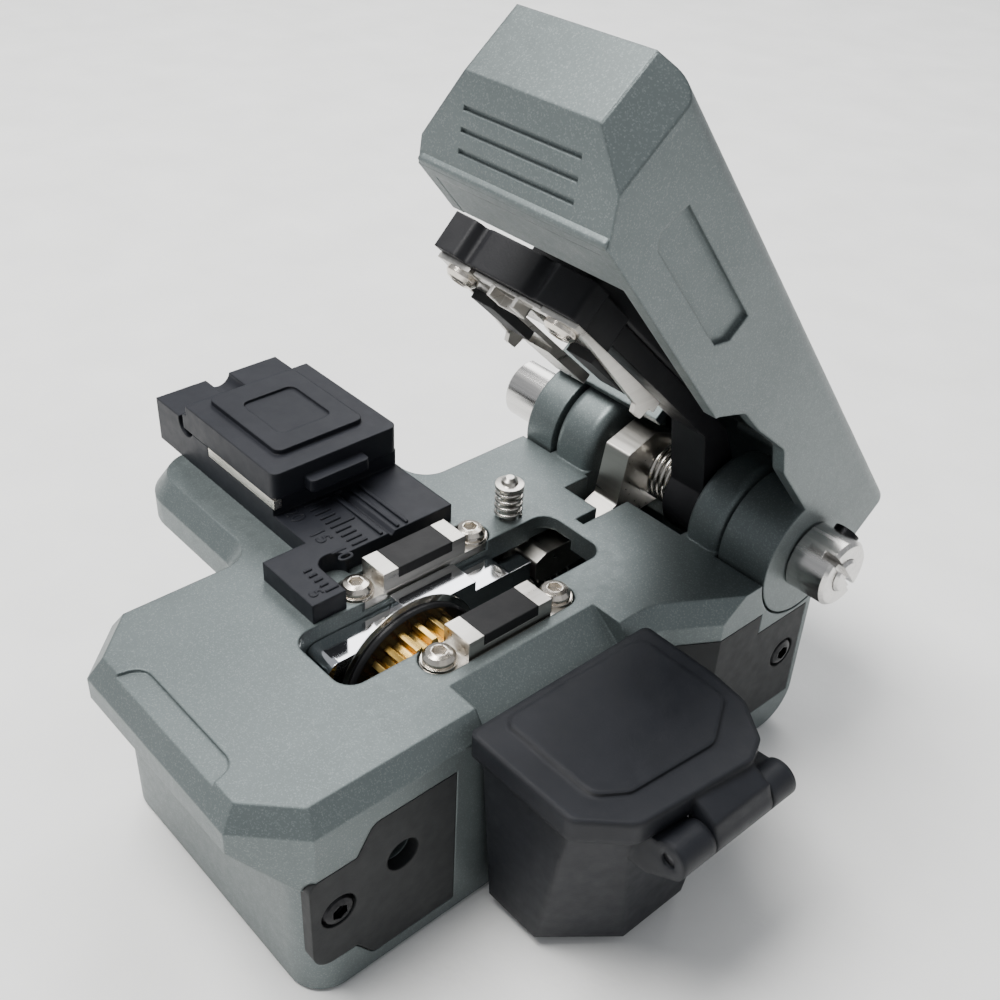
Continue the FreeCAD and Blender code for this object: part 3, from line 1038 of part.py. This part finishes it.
def write_parts():
    doc.recompute()
    for item in doc.Objects:
        if "Invalid" in item.State or "Error" in item.State:
            raise RuntimeError(f"{item.Label} failed")
    os.makedirs("parts", exist_ok=True)
    for node in NODES:
        shape = doc.getObjectsByLabel(node)[0].Shape
        if shape.isNull() or not shape.isValid() or not shape.Solids:
            raise RuntimeError(f"{node} has no valid solid")
        shape.exportStep(f"parts/{node}.step")
        print(f"{node}: {len(shape.Solids)} solid(s), {shape.Volume:.1f} mm3")


write_parts()
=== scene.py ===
"""Fibre cleaver: looks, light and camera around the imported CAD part."""
import json
import math

import bmesh
import bpy
from mathutils import Matrix, Vector


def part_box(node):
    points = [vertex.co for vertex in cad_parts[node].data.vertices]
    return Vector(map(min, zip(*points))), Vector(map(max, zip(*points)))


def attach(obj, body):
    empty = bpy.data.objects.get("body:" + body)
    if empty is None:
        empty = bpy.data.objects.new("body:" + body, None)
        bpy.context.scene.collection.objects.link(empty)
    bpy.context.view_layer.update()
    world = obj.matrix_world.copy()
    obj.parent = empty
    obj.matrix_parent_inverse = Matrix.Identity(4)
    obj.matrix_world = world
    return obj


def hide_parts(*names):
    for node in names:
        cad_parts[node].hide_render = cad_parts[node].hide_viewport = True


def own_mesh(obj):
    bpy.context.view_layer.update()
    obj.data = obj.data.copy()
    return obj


MM = 0.001
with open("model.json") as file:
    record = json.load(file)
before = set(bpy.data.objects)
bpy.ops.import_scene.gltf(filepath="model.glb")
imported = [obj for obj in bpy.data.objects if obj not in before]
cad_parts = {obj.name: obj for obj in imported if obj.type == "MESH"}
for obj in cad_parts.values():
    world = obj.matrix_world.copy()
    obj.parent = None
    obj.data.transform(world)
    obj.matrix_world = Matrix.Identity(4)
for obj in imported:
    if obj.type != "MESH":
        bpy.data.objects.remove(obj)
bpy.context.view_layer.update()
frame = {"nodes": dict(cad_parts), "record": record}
nodes = frame["nodes"]


# ------------------------------------------------------------------ materials
def node_tree(name):
    made = bpy.data.materials.new(name)
    made.use_nodes = True
    tree = made.node_tree
    shader = tree.nodes["Principled BSDF"]
    return made, tree, shader


def noise(tree, scale, detail=4.0, stretch=None):
    """Object-space noise; stretch draws it out along an axis, as brushing does."""
    coords = tree.nodes.new("ShaderNodeTexCoord")
    texture = tree.nodes.new("ShaderNodeTexNoise")
    texture.inputs["Scale"].default_value = scale
    texture.inputs["Detail"].default_value = detail
    if stretch:
        mapping = tree.nodes.new("ShaderNodeMapping")
        mapping.inputs["Scale"].default_value = stretch
        tree.links.new(coords.outputs["Object"], mapping.inputs["Vector"])
        tree.links.new(mapping.outputs["Vector"], texture.inputs["Vector"])
    else:
        tree.links.new(coords.outputs["Object"], texture.inputs["Vector"])
    return texture.outputs["Fac"]


def between(tree, factor, low, high, tight=0.5):
    """Factor spread from low to high."""
    spread = tree.nodes.new("ShaderNodeMapRange")
    spread.inputs["From Min"].default_value = 0.5 - tight / 2
    spread.inputs["From Max"].default_value = 0.5 + tight / 2
    spread.inputs["To Min"].default_value = low
    spread.inputs["To Max"].default_value = high
    tree.links.new(factor, spread.inputs["Value"])
    return spread.outputs["Result"]


def blend_colour(tree, factor, dark, light):
    mix = tree.nodes.new("ShaderNodeMix")
    mix.data_type = "RGBA"
    mix.inputs["A"].default_value = (*dark, 1)
    mix.inputs["B"].default_value = (*light, 1)
    tree.links.new(factor, mix.inputs["Factor"])
    return mix.outputs["Result"]


def relief(tree, shader, height, depth, strength, edge):
    """Fine surface relief over slightly rounded edges."""
    bump = tree.nodes.new("ShaderNodeBump")
    bump.inputs["Strength"].default_value = strength
    bump.inputs["Distance"].default_value = depth
    tree.links.new(height, bump.inputs["Height"])
    if edge:
        rounded = tree.nodes.new("ShaderNodeBevel")
        rounded.samples = 4
        rounded.inputs["Radius"].default_value = edge
        tree.links.new(rounded.outputs["Normal"], bump.inputs["Normal"])
    tree.links.new(bump.outputs["Normal"], shader.inputs["Normal"])


FLAKE_SCALE = 8500        # flakes to a metre
FLAKE_FROM = 0.72         # only flakes above this draw show
FLAKE_STRENGTH = 0.24


def flake_paint(name, dark, light, fleck):
    """Satin metallic paint with light flecks."""
    made, tree, shader = node_tree(name)
    ground = blend_colour(tree, between(tree, noise(tree, 90), 0, 1), dark, light)
    coords = tree.nodes.new("ShaderNodeTexCoord")
    flakes = tree.nodes.new("ShaderNodeTexVoronoi")
    flakes.inputs["Scale"].default_value = FLAKE_SCALE
    tree.links.new(coords.outputs["Object"], flakes.inputs["Vector"])
    pick = tree.nodes.new("ShaderNodeSeparateColor")
    tree.links.new(flakes.outputs["Color"], pick.inputs["Color"])
    lit = tree.nodes.new("ShaderNodeMapRange")
    lit.inputs["From Min"].default_value = FLAKE_FROM
    lit.inputs["From Max"].default_value = 1.0
    lit.inputs["To Max"].default_value = FLAKE_STRENGTH
    tree.links.new(pick.outputs["Red"], lit.inputs["Value"])
    mix = tree.nodes.new("ShaderNodeMix")
    mix.data_type = "RGBA"
    mix.inputs["B"].default_value = (*fleck, 1)
    tree.links.new(ground, mix.inputs["A"])
    tree.links.new(lit.outputs["Result"], mix.inputs["Factor"])
    tree.links.new(mix.outputs["Result"], shader.inputs["Base Color"])
    shader.inputs["Metallic"].default_value = 0.62
    tree.links.new(between(tree, noise(tree, 900), 0.36, 0.47), shader.inputs["Roughness"])
    relief(tree, shader, noise(tree, 2600), 0.00002, 0.35, 0.00035)
    return made


def moulded(name, dark, light, rough, grain=4200, depth=0.00002, strength=0.5, edge=0.0003):
    """Moulded plastic or rubber with a fine spark-eroded grain."""
    made, tree, shader = node_tree(name)
    colour = blend_colour(tree, between(tree, noise(tree, 160), 0, 1), dark, light)
    tree.links.new(colour, shader.inputs["Base Color"])
    worn = between(tree, noise(tree, 700), rough - 0.06, rough + 0.07)
    tree.links.new(worn, shader.inputs["Roughness"])
    shader.inputs["Specular IOR Level"].default_value = 0.25
    relief(tree, shader, noise(tree, grain, 2.0), depth, strength, edge)
    return made


def metal(name, dark, light, low, high, stretch=(1, 1, 1), grain=1400, strength=0.15, edge=0.00012):
    """Bare metal; stretch sets the lay of its tool marks."""
    made, tree, shader = node_tree(name)
    marks = noise(tree, grain, 3.0, stretch)
    tree.links.new(blend_colour(tree, between(tree, marks, 0, 1), dark, light), shader.inputs["Base Color"])
    tree.links.new(between(tree, marks, low, high), shader.inputs["Roughness"])
    shader.inputs["Metallic"].default_value = 1.0
    relief(tree, shader, marks, 0.00001, strength, edge)
    return made


ALONG_X, ALONG_Y, ROUND = (0.05, 1, 1), (1, 0.05, 1), (1, 1, 1)
PAINT = ((0.112, 0.133, 0.134), (0.131, 0.154, 0.155), (0.34, 0.38, 0.38))
LOOKS = {
    "body_paint": flake_paint("body_paint", *PAINT),
    "lid_paint": flake_paint("lid_paint", *PAINT),
    "cover_plastic": moulded("cover_plastic", (0.016, 0.017, 0.018), (0.024, 0.025, 0.026), 0.60),
    "bottom_paint": moulded("bottom_paint", (0.02, 0.02, 0.022), (0.03, 0.03, 0.032), 0.5),
    "black_screws": metal("black_screws", (0.012, 0.012, 0.013), (0.03, 0.03, 0.032), 0.28, 0.42, ROUND),
    "bright_screws": metal("bright_screws", (0.60, 0.55, 0.48), (0.78, 0.73, 0.66), 0.16, 0.28, ROUND),
    "sole_rubber": moulded("sole_rubber", (0.012, 0.012, 0.012), (0.022, 0.022, 0.022), 0.8),
    "anvil_steel": metal("anvil_steel", (0.50, 0.48, 0.45), (0.68, 0.66, 0.62), 0.24, 0.40, ALONG_Y),
    "pad_rubber": moulded("pad_rubber", (0.010, 0.010, 0.011), (0.020, 0.020, 0.021), 0.62, 3000),
    "rail_steel": metal("rail_steel", (0.42, 0.42, 0.42), (0.6, 0.6, 0.6), 0.25, 0.4, ALONG_Y),
    "carriage_steel": metal(
        "carriage_steel", (0.62, 0.63, 0.66), (0.74, 0.75, 0.78), 0.05, 0.12, ALONG_Y, 900, 0.05),
    "spring_steel": metal("spring_steel", (0.54, 0.52, 0.48), (0.66, 0.63, 0.59), 0.2, 0.30, ROUND),
    "shaft_steel": metal("shaft_steel", (0.56, 0.55, 0.53), (0.74, 0.72, 0.70), 0.16, 0.30, ALONG_X),
    "blade_steel": metal("blade_steel", (0.60, 0.59, 0.57), (0.76, 0.75, 0.73), 0.07, 0.16, ROUND, 900, 0.05),
    "hub_black": moulded("hub_black", (0.008, 0.008, 0.009), (0.014, 0.014, 0.015), 0.22, 3000),
    "gear_brass": metal("gear_brass", (0.55, 0.34, 0.08), (0.80, 0.56, 0.20), 0.18, 0.34, ALONG_X),
    "plunger_steel": metal("plunger_steel", (0.56, 0.54, 0.50), (0.64, 0.62, 0.58), 0.26, 0.36, ALONG_X),
    "arm_plastic": moulded("arm_plastic", (0.010, 0.010, 0.012), (0.018, 0.018, 0.020), 0.44),
    "holder_plastic": moulded(
        "holder_plastic", (0.007, 0.008, 0.012), (0.012, 0.013, 0.018), 0.50, 5200, 0.00001),
    "strip_steel": metal("strip_steel", (0.60, 0.57, 0.50), (0.78, 0.75, 0.68), 0.2, 0.34, ALONG_X),
    "pin_steel": metal("pin_steel", (0.05, 0.05, 0.055), (0.12, 0.12, 0.125), 0.3, 0.45, ROUND),
    "bin_plastic": moulded("bin_plastic", (0.008, 0.009, 0.012), (0.014, 0.015, 0.019), 0.50, edge=0.0009),
}

for entry in frame["record"]["subparts"]:
    piece = nodes[entry["node"]]
    piece.data.materials.clear()
    piece.data.materials.append(LOOKS[entry["material_slot"]])


# ------------------------------------------------------------------ detail pieces
def keep(name, mesh, body, slot, place=None):
    """A finished mesh as a piece that rides on a body."""
    piece = bpy.data.objects.new(name, mesh)
    bpy.context.scene.collection.objects.link(piece)
    if place is not None:
        mesh.transform(place)
    mesh.materials.clear()
    mesh.materials.append(LOOKS[slot])
    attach(piece, body)
    return piece


def soft_bars(name, bars, bevel, body, slot, place=None):
    """Low bars with rounded edges as one mesh; each is (low corner, high corner) in millimetres."""
    work = bmesh.new()
    for low, high in bars:
        size = [(b - a) * MM for a, b in zip(low, high)]
        middle = [(a + b) / 2 * MM for a, b in zip(low, high)]
        bmesh.ops.create_cube(work, size=1, matrix=Matrix.Translation(middle) @ Matrix.Diagonal((*size, 1)))
    bmesh.ops.bevel(work, geom=work.edges[:], offset=bevel * MM, segments=2, profile=0.5, affect="EDGES")
    mesh = bpy.data.meshes.new(name)
    work.to_mesh(mesh)
    work.free()
    return keep(name, mesh, body, slot, place)


def number(name, text, across, back, level, height, body, slot):
    """A plain raised figure of the scale."""
    curve = bpy.data.curves.new(name, "FONT")
    curve.body = text
    curve.size = height * MM * 1.35
    curve.extrude = 0.06 * MM
    curve.bevel_depth = 0.03 * MM
    curve.align_x, curve.align_y = "CENTER", "CENTER"
    source = bpy.data.objects.new(name + "_text", curve)
    bpy.context.scene.collection.objects.link(source)
    bpy.context.view_layer.update()
    mesh = bpy.data.meshes.new_from_object(source.evaluated_get(bpy.context.evaluated_depsgraph_get()))
    bpy.data.objects.remove(source)
    mesh.name = name
    return keep(name, mesh, body, slot, Matrix.Translation((across * MM, back * MM, level * MM)))


# the scale of the holder, in millimetres
LINE = 2.1            # the plane of the blade, from which the scale counts
FRONT = 37.3          # the deck's front edge lies this far before the origin
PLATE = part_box("fibre_holder")[0].z / MM + 2.4      # the top of the holder's plate
TICK_HALF, TICK_SUNK, TICK_HIGH = 0.14, 0.05, 0.16
FAR_ROW, NEAR_ROW = 28.2, 21.4       # how far back the two rows of ticks start
NEAR_SHIFT = 1.3                     # the near row is set over to fit its block
FAR_FIGURES, NEAR_FIGURE = 26.4, 20.4


def tick(across, back, reach):
    """One tick of the scale, as a bar for soft_bars."""
    return ((across - TICK_HALF, back - FRONT, PLATE - TICK_SUNK),
            (across + TICK_HALF, back - FRONT + reach, PLATE + TICK_HIGH))


ticks = [tick(LINE - count, FAR_ROW, 3.2 if count % 5 == 0 else 2.0) for count in range(11, 21)]
ticks += [tick(LINE - count - NEAR_SHIFT, NEAR_ROW, 1.6 if count % 5 == 0 else 1.0) for count in range(5, 10)]
soft_bars("holder_scale_ticks", ticks, 0.04, "base", "holder_plastic")
# the far row starts at 11, and the figure 10 stands at that tick
for figure, count in ((20, 20), (15, 15), (10, 11)):
    number(f"holder_figure_{figure}", str(figure), LINE - count + 0.5, FAR_FIGURES - FRONT, PLATE, 1.9,
           "base", "holder_plastic")
number("holder_figure_5", "5", -4.6, NEAR_FIGURE - FRONT, PLATE, 1.6, "base", "holder_plastic")


# pieces drawn in the frame of the arm or lid, as it lies on the hinge axis when shut
HINGE = Vector((0, 31.4, 26.8)) * MM
ARM_OPEN, LID_OPEN = -44.7, -51.0
ARM = Matrix.Translation(HINGE) @ Matrix.Rotation(math.radians(ARM_OPEN), 4, "X")
LID = Matrix.Translation(HINGE) @ Matrix.Rotation(math.radians(LID_OPEN), 4, "X")

# the lid in its own frame, in millimetres, as the part has it
LID_LEFT, LID_RIGHT, LID_FRONT, LID_TOP, LID_FLOOR = -0.4, 22.3, -66.55, 12.9, -0.4
LID_NOSE, LID_SLOPE_END, LID_ROUND = 6.0, -60.5, 1.8
LEFT_CUT, RIGHT_CUT = 4.4, 3.1
NOSE_FALL = (LID_NOSE - LID_FLOOR) / (LID_SLOPE_END - LID_FRONT)
WALL_INSET, WALL_PROUD, WALL_DEEP = 0.02, 0.03, 0.6
ARC_STEPS = 8

soft_bars("arm_guard_plate", [
    ((-2.6, -44.6, 2.62), (6.8, -43.0, 3.08)), ((0.2, -44.6, 2.62), (4.0, -37.8, 3.08)),
    ((0.2, -44.6, 1.55), (0.7, -42.2, 2.9)), ((3.5, -44.6, 1.55), (4.0, -42.2, 2.9)),
    ((0.2, -42.6, 1.5), (4.0, -42.2, 2.9))], 0.08, "arm", "anvil_steel", ARM)
soft_bars("lid_nose_lip", [((-0.25, -61.2, -0.38), (22.15, -54.0, 1.1))], 0.25, "lid", "lid_paint", LID)


def facet_outline(cut):
    """Corners of a facet as (way in from the lid's side, level). Its upper outer corner is round."""
    start, finish = WALL_INSET, cut - WALL_INSET
    outline = [(way, LID_NOSE - (cut - way) * NOSE_FALL + WALL_INSET) for way in (start, finish)]
    outline.append((finish, LID_TOP - WALL_INSET))
    for step in range(ARC_STEPS + 1):
        turn = math.radians(90 * step / ARC_STEPS)
        way = LID_ROUND - LID_ROUND * math.sin(turn)
        level = LID_TOP - LID_ROUND + LID_ROUND * math.cos(turn)
        outline.append((max(way, start), level - WALL_INSET))
    return outline


def facet_wall(name, side, edge, cut):
    """A thin wall over one front corner facet of the lid, which the part's hollow breaks through."""
    outline = facet_outline(cut)
    normal = Vector((side, -1, 0)).normalized()
    work = bmesh.new()
    rings = []
    for depth in (WALL_PROUD, -WALL_DEEP):
        ring = []
        for way, level in outline:
            spot = Vector((edge - side * way, LID_FRONT + cut - way, level)) + normal * depth
            ring.append(work.verts.new(spot * MM))
        rings.append(ring)
    for index in range(len(outline)):
        onward = (index + 1) % len(outline)
        work.faces.new((rings[0][index], rings[0][onward], rings[1][onward], rings[1][index]))
    work.faces.new(rings[0][::-1])
    work.faces.new(rings[1])
    bmesh.ops.remove_doubles(work, verts=work.verts[:], dist=0.001 * MM)
    bmesh.ops.recalc_face_normals(work, faces=work.faces[:])
    mesh = bpy.data.meshes.new(name)
    work.to_mesh(mesh)
    work.free()
    return keep(name, mesh, "lid", "lid_paint", LID)


facet_wall("lid_corner_left", -1, LID_LEFT, LEFT_CUT)
facet_wall("lid_corner_right", 1, LID_RIGHT, RIGHT_CUT)

TURN_STEPS, WIRE_SIDES = 28, 10


def coil(name, foot, along, radius, wire, turns, length):
    """A compression spring, in millimetres, wound from its foot along its axis."""
    across = along.orthogonal().normalized()
    up = along.cross(across)
    steps = TURN_STEPS * turns
    work = bmesh.new()
    rings = []
    for step in range(steps + 1):
        turn = 2 * math.pi * turns * step / steps
        out = across * math.cos(turn) + up * math.sin(turn)
        middle = foot + along * (wire / 2 + (length - wire) * step / steps) + out * radius
        ring = []
        for side in range(WIRE_SIDES):
            angle = 2 * math.pi * side / WIRE_SIDES
            skin = (out * math.cos(angle) + along * math.sin(angle)) * wire / 2
            ring.append(work.verts.new((middle + skin) * MM))
        rings.append(ring)
    for first, second in zip(rings, rings[1:]):
        for side in range(WIRE_SIDES):
            onward = (side + 1) % WIRE_SIDES
            work.faces.new((first[side], first[onward], second[onward], second[side]))
    work.faces.new(rings[0][::-1])
    work.faces.new(rings[-1])
    bmesh.ops.recalc_face_normals(work, faces=work.faces[:])
    for face in work.faces:
        face.smooth = True
    mesh = bpy.data.meshes.new(name)
    work.to_mesh(mesh)
    work.free()
    piece = keep(name, mesh, "base", "spring_steel")
    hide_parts(name.replace("_coil", ""))
    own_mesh(piece)
    return piece


coil("plunger_spring_coil", Vector((-4.9, 10.3, 26.0)), Vector((0, 0, 1)),
     radius=1.475, wire=0.45, turns=4, length=4.1)
coil("carriage_spring_coil", Vector((-4.6, 20.65, 14.0)), Vector((0, -1, 0)),
     radius=1.55, wire=0.5, turns=8, length=15.9)
soft_bars("arm_back_rib", [((1.7, -44.6, 6.6), (9.9, -12.0, 10.4))], 0.5, "arm", "arm_plastic", ARM)
RAIL_LEFT, RAIL_RIGHT, RAIL_WIDE, RAIL_SUNK, RAIL_HIGH = -17.6, -8.5, 0.4, 0.05, 0.3
soft_bars("holder_guide_rails", [
    ((RAIL_LEFT, back - FRONT, PLATE - RAIL_SUNK), (RAIL_RIGHT, back + RAIL_WIDE - FRONT, PLATE + RAIL_HIGH))
    for back in (31.75, 34.05, 35.3)], 0.1, "base", "holder_plastic")


# ------------------------------------------------------------------ camera, floor and light
CAMERA_PLACE = Vector((81.03, -72.13, 112.21)) * MM
CAMERA_TURN, CAMERA_TILT, CAMERA_ROLL = 46.68, 35.21, 3.03      # degrees
CAMERA_LENS, CAMERA_SENSOR = 45.25, 36                          # millimetres
FLOOR_HALF = 1.5
AIM = (0, 0, 0.03)


def photo_camera():
    turn, tilt, roll = (math.radians(angle) for angle in (CAMERA_TURN, CAMERA_TILT, CAMERA_ROLL))
    ahead = Vector((-math.sin(turn) * math.cos(tilt), math.cos(turn) * math.cos(tilt), -math.sin(tilt)))
    side = Vector((math.cos(turn), math.sin(turn), 0))
    up = side.cross(ahead)
    across = side * math.cos(roll) + up * math.sin(roll)
    above = up * math.cos(roll) - side * math.sin(roll)
    data = bpy.data.cameras.new("camera")
    data.lens, data.sensor_width = CAMERA_LENS, CAMERA_SENSOR
    data.clip_start, data.clip_end = 0.005, 20
    camera = bpy.data.objects.new("camera", data)
    camera.matrix_world = Matrix((across, above, -ahead)).transposed().to_4x4()
    camera.matrix_world.translation = CAMERA_PLACE
    bpy.context.scene.collection.objects.link(camera)
    bpy.context.scene.camera = camera


def area_light(name, place, size, power, colour=(1, 1, 1)):
    data = bpy.data.lights.new(name, "AREA")
    data.shape, data.size, data.energy, data.color = "DISK", size, power, colour
    light = bpy.data.objects.new(name, data)
    light.location = place
    light.rotation_euler = (Vector(AIM) - Vector(place)).to_track_quat("-Z", "Y").to_euler()
    bpy.context.scene.collection.objects.link(light)


def pale_floor():
    mesh = bpy.data.meshes.new("floor")
    corners = [(x * FLOOR_HALF, y * FLOOR_HALF, 0) for x, y in ((-1, -1), (1, -1), (1, 1), (-1, 1))]
    mesh.from_pydata(corners, [], [(0, 1, 2, 3)])
    floor = bpy.data.objects.new("floor", mesh)
    bpy.context.scene.collection.objects.link(floor)
    made, tree, shader = node_tree("floor_pale")
    colour = blend_colour(tree, between(tree, noise(tree, 60), 0, 1), (0.80, 0.80, 0.79), (0.88, 0.88, 0.87))
    tree.links.new(colour, shader.inputs["Base Color"])
    shader.inputs["Roughness"].default_value = 0.8
    relief(tree, shader, noise(tree, 500), 0.0002, 0.3, 0)
    mesh.materials.append(made)


def studio():
    world = bpy.data.worlds.new("world")
    bpy.context.scene.world = world
    world.use_nodes = True
    world.node_tree.nodes["Background"].inputs["Color"].default_value = (0.93, 0.96, 1.0, 1)
    world.node_tree.nodes["Background"].inputs["Strength"].default_value = 0.47
    area_light("key", (-0.16, -0.17, 0.66), 0.40, 8.4, (1, 0.99, 0.97))
    area_light("back", (-0.30, 0.38, 0.55), 0.50, 3.2)
    area_light("fill", (0.50, -0.10, 0.35), 0.50, 0.12)


photo_camera()
pale_floor()
studio()
